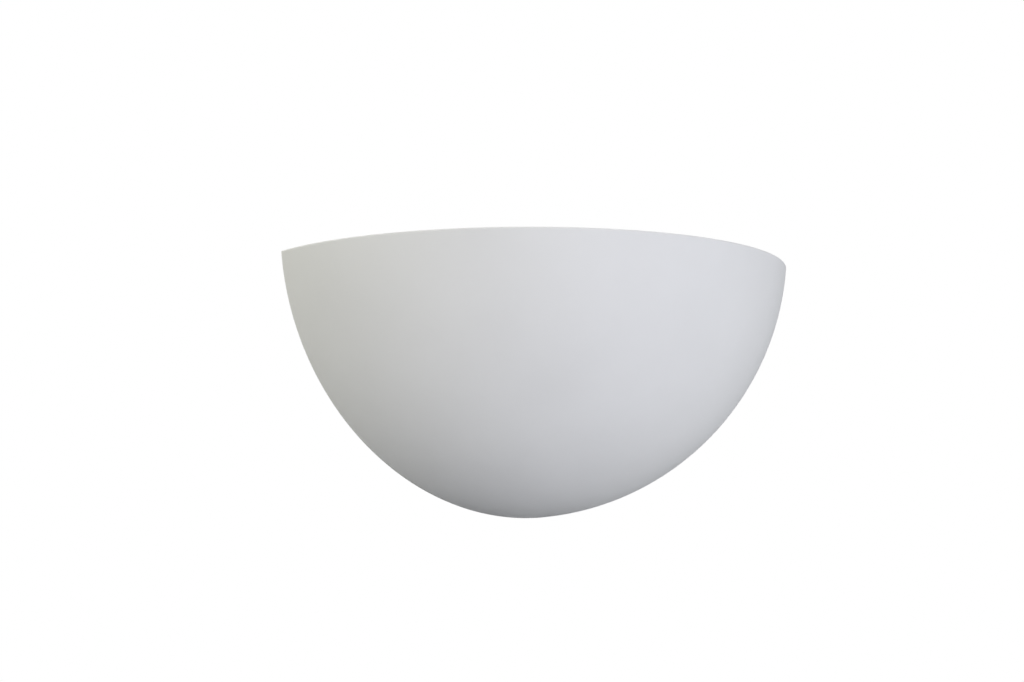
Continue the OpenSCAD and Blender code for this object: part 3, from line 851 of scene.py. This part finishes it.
class SCONCE_OT_bowl_fixings(bpy.types.Operator):
    """Makes the two studs, their rubber cushions, nylon washers and thumb nuts"""

    bl_idname = "sconce.bowl_fixings"
    bl_label = "Bowl fixings"

    def execute(self, context):
        node = "bowl_studs"
        x = middle_of_pair(node)
        head = radius_of(node)
        shank = head - 1.5 * MM
        end = -low(node).y
        chamfer, plain = 0.2 * MM, 2 * MM
        stations = [(0, 0), (0, head - chamfer), (chamfer, head), (SHEET, head), (SHEET, shank)]
        stations += thread(
            SHEET + plain, end - 0.4 * MM, shank, 0.42 * MM, look().metal.screw_pitch, vee, 0.4 * MM
        )
        stations += [(end, shank * 0.72), (end, 0)]
        stud = turned("stud_pair", Matrix(), stations, 32)
        repeated(stud, "zinc_steel", (-x, 0, 0), 2, (2 * x, 0, 0))
        settle(stud, "fitting", "zinc_steel", node)
        settle_softened(
            "fitting",
            ("cushion_washers", "bush_rubber", 0.25),
            ("nylon_washers", "nylon", 0.2),
            ("thumb_nuts", "nickel_steel", 0.12),
        )
        return {"FINISHED"}


class SCONCE_OT_bracket(bpy.types.Operator):
    """Makes the pressed steel bracket and the rubber bush in its cable hole"""

    bl_idname = "sconce.bracket"
    bl_label = "Wall bracket"

    def execute(self, context):
        face = low("wall_bracket").y
        outline_x, outline_z = 63 * MM, 36 * MM  # the tray's holes lie further in

        def on_tray_outline(*ends):
            return all(abs(end.y - face) < 0.01 * MM for end in ends) and any(
                abs(end.x) > outline_x or abs(end.z) > outline_z for end in ends
            )

        piece = softened("wall_bracket", look().metal.press_round, 4, on_tray_outline)
        settle(piece, "fitting", "bracket_paint", "wall_bracket")
        settle_softened("fitting", ("cable_bush", "bush_rubber", 0.5), segments=3)
        return {"FINISHED"}


# ---- Lamp arm ----


def threaded_tube(name, place, length_over, outer, bore, pitch):
    """Hollow tube with a thread along its outside and chamfered ends."""
    depth = 0.55 * MM
    lead, sink, flare = 0.4 * MM, 0.3 * MM, 0.2 * MM
    end_radius = outer - depth - 0.1 * MM
    stations = [(0, end_radius)]
    stations += thread(lead, length_over - lead, outer, depth, pitch, vee, 0)
    stations += [(length_over, end_radius), (length_over, bore + flare)]
    stations += [(length_over - sink, bore), (sink, bore), (0, bore + flare)]
    return turned(name, place, stations, 72)


class SCONCE_OT_arm(bpy.types.Operator):
    """Makes the lamp arm, its screws and nuts, and the hollow nipple with its washer and nut"""

    bl_idname = "sconce.arm"
    bl_label = "Lamp arm"

    def execute(self, context):
        settle_softened("fitting", ("lamp_arm", "bracket_paint", 0.25))
        lowest, highest = low("arm_screws"), high("arm_screws")
        head = (highest.x - lowest.x) / 2
        slotted_screws(
            "arm_screw_pair", "arm_screws", "zinc_steel", 2 * MM, head, 2.4 * MM, 0.9 * MM, rows=2
        )
        z, step = spread(lowest.z, highest.z, head, 2)
        lowest, highest = low("arm_nuts"), high("arm_nuts")
        across = highest.z - lowest.z - step
        pair = nut("arm_nut_pair", Matrix(), across, SCREW_BORE, highest.y - lowest.y)
        x = middle("arm_screws").x
        repeated(pair, "zinc_steel", (x, highest.y, z), rows=2, row_step=(0, 0, step))
        settle(pair, "fitting", "zinc_steel", "arm_nuts")

        start, end = low("nipple").x, high("nipple").x
        outer = radius_of("nipple")
        pitch = look().metal.nipple_pitch
        nipple = threaded_tube(
            "nipple_tube", on_lamp_axis(start), end - start, outer, 3.5 * MM, pitch
        )
        settle(nipple, "fitting", "brass", "nipple")
        lowest, highest = low("nipple_nut"), high("nipple_nut")
        place = on_lamp_axis(lowest.x)
        across, thickness = highest.y - lowest.y, highest.x - lowest.x
        locknut = nut("nipple_nut_hex", place, across, outer + 0.05 * MM, thickness)
        settle(locknut, "fitting", "brass", "nipple_nut")
        settle_softened("fitting", ("nipple_washer", "zinc_steel", 0.15))
        return {"FINISHED"}


# ---- Lampholder ----


def lamp_thread(start, end, crest, depth, cone=None):
    """Stations of the lamp's round thread, which runs out towards its far end.

    At its first end it starts as a cone from that radius. Without one, it runs out there too.
    """
    stations = []
    for along, radius in thread(start, end, crest, depth, look().lamp.pitch, wave, 0, 14):
        gone = along - start
        ease = max(0.0, min(1.0, (end - along) / (1.5 * MM)))
        limit = crest
        if cone is None:
            ease = min(ease, gone / (0.5 * MM))
        else:
            limit = cone + (crest - cone) * min(1.0, gone / (2 * MM))

        def eased(angle, radius=radius, ease=ease, limit=limit):
            return min(limit, crest - (crest - radius(angle)) * ease)

        stations.append((along, eased))
    return stations


class SCONCE_OT_holder(bpy.types.Operator):
    """Makes the three-piece lampholder, its threaded shell, contact and terminals"""

    bl_idname = "sconce.holder"
    bl_label = "Lampholder"

    def execute(self, context):
        settle_softened(
            "fitting",
            ("holder_bell", "holder_plastic", 0.5),
            ("holder_skirt", "holder_plastic", 0.3),
            ("holder_insert", "porcelain", 0.4),
            ("centre_contact", "brass", 0.1),
            ("holder_terminals", "brass", 0.3),
        )
        start, end = low("screw_shell").x, high("screw_shell").x
        outer = radius_of("screw_shell")
        stations = [(start, outer), (end - 0.4 * MM, outer), (end, outer - 0.1 * MM)]
        # The shell's crests lie in the roots of the lamp's thread.
        stations += lamp_thread(start, end, outer - 0.5 * MM, look().lamp.depth * 0.6)[::-1]
        shell = turned("threaded_shell", on_lamp_axis(), stations, 96)
        settle(shell, "fitting", "brass", "screw_shell")
        return {"FINISHED"}


# ---- Lamp ----


class SCONCE_OT_lamp(bpy.types.Operator):
    """Makes the lamp: globe, housing, threaded cap, glass insulator and solder tip"""

    bl_idname = "sconce.lamp"
    bl_label = "Lamp"

    def execute(self, context):
        start, end = low("lamp_cap").x, high("lamp_cap").x
        crest = radius_of("lamp_cap")
        taper = crest - 1.2 * MM
        neck = crest - 0.25 * MM
        stations = [(start, 0), (start, taper)]
        stations += lamp_thread(start, end - 3.2 * MM, crest, look().lamp.depth, taper)
        stations += [(end - 3.0 * MM, neck), (end - 2.2 * MM, neck), (end - 1.8 * MM, crest)]
        stations += [(end - 0.3 * MM, crest), (end, crest - 0.2 * MM), (end, 0)]
        cap = turned("threaded_cap", on_lamp_axis(), stations, 96)
        settle(cap, "lamp", "nickel_steel", "lamp_cap")
        core = ("lamp_insulator", "black_glass", 0.3), ("lamp_tip", "solder", 0.5)
        settle_softened("lamp_core", *core, segments=3)
        settle_softened("lamp", ("lamp_housing", "lamp_plastic", 0.25), segments=3)
        # The frame's own globe is smooth already, so it stays as it is.
        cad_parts["lamp_globe"].material_slots[0].material = finish("opal_plastic")
        return {"FINISHED"}


# ---- Terminal block and earth point ----


class SCONCE_OT_terminal_block(bpy.types.Operator):
    """Makes the three-pole terminal block with its brass tubes and screws"""

    bl_idname = "sconce.terminal_block"
    bl_label = "Terminal block"

    def execute(self, context):
        settle_softened(
            "fitting", ("terminal_block", "nylon", 0.35), ("terminal_tubes", "brass", 0.1)
        )
        slotted_screws(
            "pole_screw_grid", "terminal_screws", "zinc_steel",
            1.25 * MM, 1.75 * MM, 1.6 * MM, 0.6 * MM, columns=3, rows=2,
        )
        slotted_screws(
            "block_screw_pair", "block_screws", "zinc_steel",
            1.5 * MM, radius_of("block_screws"), 2 * MM, 0.9 * MM, columns=2,
        )
        return {"FINISHED"}


class SCONCE_OT_earth_point(bpy.types.Operator):
    """Makes the earth screw with its washer, crimped lug and nut"""

    bl_idname = "sconce.earth_point"
    bl_label = "Earth point"

    def execute(self, context):
        slotted_screws(
            "earth_screw_slotted", "earth_screw", "brass",
            2 * MM, radius_of("earth_screw"), 2.4 * MM, 0.9 * MM,
        )
        node = "earth_nut"
        lowest, highest, centre = low(node), high(node), middle(node)
        place = off_wall(centre.x, centre.z, -highest.y)
        across, thickness = highest.z - lowest.z, highest.y - lowest.y
        settle(nut("earth_nut_hex", place, across, SCREW_BORE, thickness), "fitting", "brass", node)
        settle_softened(
            "fitting", ("earth_washer", "zinc_steel", 0.12), ("earth_lug", "tinned_copper", 0.12)
        )
        return {"FINISHED"}


# ---- Wires ----


def between(a, b, c, d, t):
    """Point on the smooth curve through four points, between the second and the third."""
    square = 2 * a - 5 * b + 4 * c - d
    cube = 3 * b - a - 3 * c + d
    return 0.5 * (2 * b + (c - a) * t + square * t * t + cube * t * t * t)


def filled(route, steps=8):
    """Close points on the smooth curve through a route's corners, which are in millimetres."""
    corners = [Vector(point) * MM for point in route]
    last = len(corners) - 1
    points = []
    for i in range(last):
        four = [corners[max(i - 1, 0)], corners[i], corners[i + 1], corners[min(i + 2, last)]]
        points += [between(*four, k / steps) for k in range(steps)]
    return points + [corners[last]]


def tube(bm, points, radius, sides, stripe=None):
    """Closed tube along points. It carries one frame along, so it never twists."""
    around = zip(points[:1] + points[:-1], points[1:] + points[-1:])
    ways = [(after - before).normalized() for before, after in around]
    side = ways[0].orthogonal().normalized()
    rings = []
    for point, way in zip(points, ways):
        side = (side - way * side.dot(way)).normalized()
        up = way.cross(side)
        ring = []
        for k in range(sides):
            angle = FULL_TURN * k / sides
            corner = bm.verts.new(point + radius * (math.cos(angle) * side + math.sin(angle) * up))
            if stripe is not None:
                corner[stripe] = 1.0 if math.sin(2 * angle) > 0.35 else 0.0
            ring.append(corner)
        rings.append(ring)
    for near, far in zip(rings, rings[1:]):
        for k in range(sides):
            following = (k + 1) % sides
            bm.faces.new((near[k], near[following], far[following], far[k]))
    for ring in (rings[0], rings[-1]):
        bm.faces.new(ring)


def wire(name, node, slot, route):
    """Insulated wire along its route, with its two bare copper ends."""
    size = look().wires
    points = filled(route)
    travelled = [0.0]
    for a, b in zip(points, points[1:]):
        travelled.append(travelled[-1] + (b - a).length)
    total = travelled[-1]

    def part(start, end):
        """The points between two distances along the route."""
        return [point for point, gone in zip(points, travelled) if start <= gone <= end]

    cover = bmesh.new()
    stripe = cover.verts.layers.float.new("stripe")
    tube(cover, part(size.bare, total - size.bare), size.radius, 16, stripe)
    settle(closed_skin(name, cover), "fitting", slot, node)
    ends = bmesh.new()
    reach = size.bare * 1.4  # the copper runs on a little way inside the insulation
    tube(ends, part(0, reach), size.copper, 12)
    tube(ends, part(total - reach, total), size.copper, 12)
    copper = closed_skin(name + "_ends", ends)
    settle(copper, "fitting", "tinned_copper", material="bare_copper")


def wire_routes():
    """The three wires' routes from the terminal block to holder and earth point, in millimetres."""
    pole = [20, 30, 40]
    pole_y, pole_end, block_z = -15.5, -24, -14
    axis_y, up = LAMP_AXIS.y / MM, LAMP_AXIS.z / MM
    left = low("lamp_arm").x / MM
    right = left + SHEET / MM
    into_bell = high("nipple").x / MM + 1
    gap, off = 1.3, 6.5
    terminal = low("holder_terminals").x / MM - 0.1
    lug_y, earth_z = -10, middle("earth_screw").z / MM

    def into_holder(side):
        """The end of a route, through the nipple, above (1) or below (-1) the lamp's axis."""
        ends = (left - 7, gap), (right + 3, gap), (into_bell, gap + 0.2)
        ends += (terminal - 3.2, off - 0.4), (terminal - 1.5, off), (terminal, off)
        return [(x, axis_y, up + side * rise) for x, rise in ends]

    live = [
        (pole[0], pole_y, block_z - 5), (pole[0], pole_y, pole_end - 3),
        (pole[0] - 6, pole_y, -33), (0, -16, -34), (-30, -17, -34), (-58, -18, -33),
        (-74, -23, -29), (-81, -36, -18), (-82, axis_y + 10, -5),
        (-79, axis_y + 1, up + gap - 0.5), *into_holder(1),
    ]
    neutral = [
        (pole[2], pole_y, block_z - 5), (pole[2], pole_y, pole_end - 4),
        (pole[2] - 6, pole_y, -36.6), (0, -19, -37.4), (-30, -20, -37.4), (-60, -21, -36.6),
        (-78, -27, -32), (-85, -40, -20), (-86, axis_y + 5, -8), (-81, axis_y, up - gap - 1.2),
        *into_holder(-1),
    ]
    earth = [
        (pole[1], pole_y, block_z - 5), (pole[1], pole_y, pole_end - 1.5),
        (pole[1] - 1.5, -13, earth_z + 1.6), (pole[1] - 8, -10.8, earth_z),
        (14, lug_y, earth_z), (6.2, lug_y, earth_z),
    ]
    return live, neutral, earth


class SCONCE_OT_wires(bpy.types.Operator):
    """Makes the live, neutral and earth wires with their bare copper ends"""

    bl_idname = "sconce.wires"
    bl_label = "Wires"

    def execute(self, context):
        live, neutral, earth = wire_routes()
        wire("live_lead", "live_wire", "wire_brown", live)
        wire("neutral_lead", "neutral_wire", "wire_blue", neutral)
        wire("earth_lead", "earth_wire", "wire_green", earth)
        return {"FINISHED"}


# ---- Stage ----


def aim(azimuth, elevation):
    """Direction from the bowl: azimuth 0 is straight before the wall, positive to the right."""
    turn, rise = math.radians(azimuth), math.radians(elevation)
    out = math.cos(rise)
    return Vector((math.sin(turn) * out, -math.cos(turn) * out, math.sin(rise)))


# The panel's light, its tint, azimuth, elevation and focus. Their sum lights the fitting.
LIGHTS = (
    ("front_light", (0.969, 0.964, 1.067), -8, -25, 8),
    ("low_light", (0.961, 1.002, 1.037), 30, -28, 12),
    ("left_light", (1.033, 1.038, 0.929), -98, 15, 14),
    ("right_light", (0.98, 1.0, 1.02), 100, 20, 4),
    ("back_light", (1.02, 1.0, 0.98), 180, 20, 6),
    ("top_light", (1.0, 1.0, 1.03), 0, 90, 40),
)


def light_world(size):
    """White studio: the camera sees plain white, and the soft lights fall on the fitting."""
    world = bpy.data.worlds.new("studio")
    bpy.context.scene.world = world
    world.use_nodes = True
    tree = world.node_tree
    tree.nodes.clear()
    total = None
    for name, tint, azimuth, elevation, focus in LIGHTS:
        lobe = put(
            tree, "ShaderNodeGroup", group=lobe_group(), Colour=(*tint, 1),
            Strength=getattr(size, name), Direction=aim(azimuth, elevation), Focus=focus,
        )
        if total is None:
            total = lobe
            continue
        both = put(tree, "ShaderNodeVectorMath", "ADD")
        join(tree, (total, 0, both, 0), (lobe, 0, both, 1))
        total = both
    light = put(tree, "ShaderNodeBackground")
    white = put(tree, "ShaderNodeBackground", Color=(1, 1, 1, 1))
    mix = put(tree, "ShaderNodeMixShader")
    join(
        tree,
        (total, 0, light, "Color"),
        (put(tree, "ShaderNodeLightPath"), "Is Camera Ray", mix, "Fac"),
        (light, "Background", mix, 1), (white, "Background", mix, 2),
        (mix, "Shader", put(tree, "ShaderNodeOutputWorld"), "Surface"),
    )


def place_camera():
    """Camera below the bowl and to its left, placed by a fit of the bowl's outline."""
    distance = 1.43987
    azimuth, elevation = -33.386, -9.013
    yaw, pitch, roll = (math.radians(angle) for angle in (33.233, 7.400, -0.392))
    focal_pixels = 2400
    ahead = math.cos(pitch)
    forward = Vector((math.sin(yaw) * ahead, math.cos(yaw) * ahead, math.sin(pitch)))
    level = Vector((math.cos(yaw), -math.sin(yaw), 0))
    over = level.cross(forward)
    right = level * math.cos(roll) + over * math.sin(roll)
    up = over * math.cos(roll) - level * math.sin(roll)
    camera = new_object("camera", bpy.data.cameras.new("camera"))
    camera.data.sensor_width = SENSOR_WIDTH
    camera.data.lens = focal_pixels * SENSOR_WIDTH / IMAGE_WIDTH
    camera.data.clip_start = 0.05
    camera.data.clip_end = 100
    turn = Matrix((right, up, -forward)).transposed().to_4x4()
    place = Vector((0, 0, RIM_UP)) + aim(azimuth, elevation) * distance
    camera.matrix_world = Matrix.Translation(place) @ turn
    bpy.context.scene.camera = camera


class SCONCE_OT_stage(bpy.types.Operator):
    """Sets the pale floor, the soft light and the camera"""

    bl_idname = "sconce.stage"
    bl_label = "Stage"

    def execute(self, context):
        size = look().stage
        bm = bmesh.new()
        place = upright(-size.floor_drop)
        radius = size.floor_size / 2
        bmesh.ops.create_circle(bm, cap_ends=True, segments=128, radius=radius, matrix=place)
        floor = object_from("floor", bm)
        floor.data.materials.append(finish("floor_paint"))
        light_world(size)
        place_camera()
        context.scene.view_settings.view_transform = "Standard"
        return {"FINISHED"}


# ---- Panel and registration ----


class SCONCE_PT_panel(bpy.types.Panel):
    """Lists the sizes, colours and pieces of the sconce"""

    bl_label = "Uplighter Wall Sconce"
    bl_idname = "SCONCE_PT_panel"
    bl_space_type = "VIEW_3D"
    bl_region_type = "UI"
    bl_category = "Sconce"

    def draw(self, context):
        settings = context.scene.sconce
        for part in ("bowl", "lamp", "metal", "wires", "stage"):
            group = getattr(settings, part)
            box = self.layout.box()
            box.label(text=part.capitalize())
            for name in group.__annotations__:
                box.prop(group, name)
        for operator in PIECES:
            self.layout.operator(operator.bl_idname)


PIECES = (
    SCONCE_OT_stage,
    SCONCE_OT_bowl,
    SCONCE_OT_bowl_fixings,
    SCONCE_OT_bracket,
    SCONCE_OT_arm,
    SCONCE_OT_holder,
    SCONCE_OT_lamp,
    SCONCE_OT_terminal_block,
    SCONCE_OT_earth_point,
    SCONCE_OT_wires,
)
CLASSES = (BowlLook, LampLook, MetalLook, WireLook, StageLook, SconceLook, *PIECES, SCONCE_PT_panel)


def register():
    for cls in CLASSES:
        bpy.utils.register_class(cls)
    bpy.types.Scene.sconce = PointerProperty(type=SconceLook)


def unregister():
    del bpy.types.Scene.sconce
    for cls in reversed(CLASSES):
        bpy.utils.unregister_class(cls)


def main():
    register()
    bpy.ops.sconce.stage()
    bpy.ops.sconce.bowl()
    bpy.ops.sconce.bowl_fixings()
    bpy.ops.sconce.bracket()
    bpy.ops.sconce.arm()
    bpy.ops.sconce.holder()
    bpy.ops.sconce.lamp()
    bpy.ops.sconce.terminal_block()
    bpy.ops.sconce.earth_point()
    bpy.ops.sconce.wires()


if __name__ == "__main__":
    main()
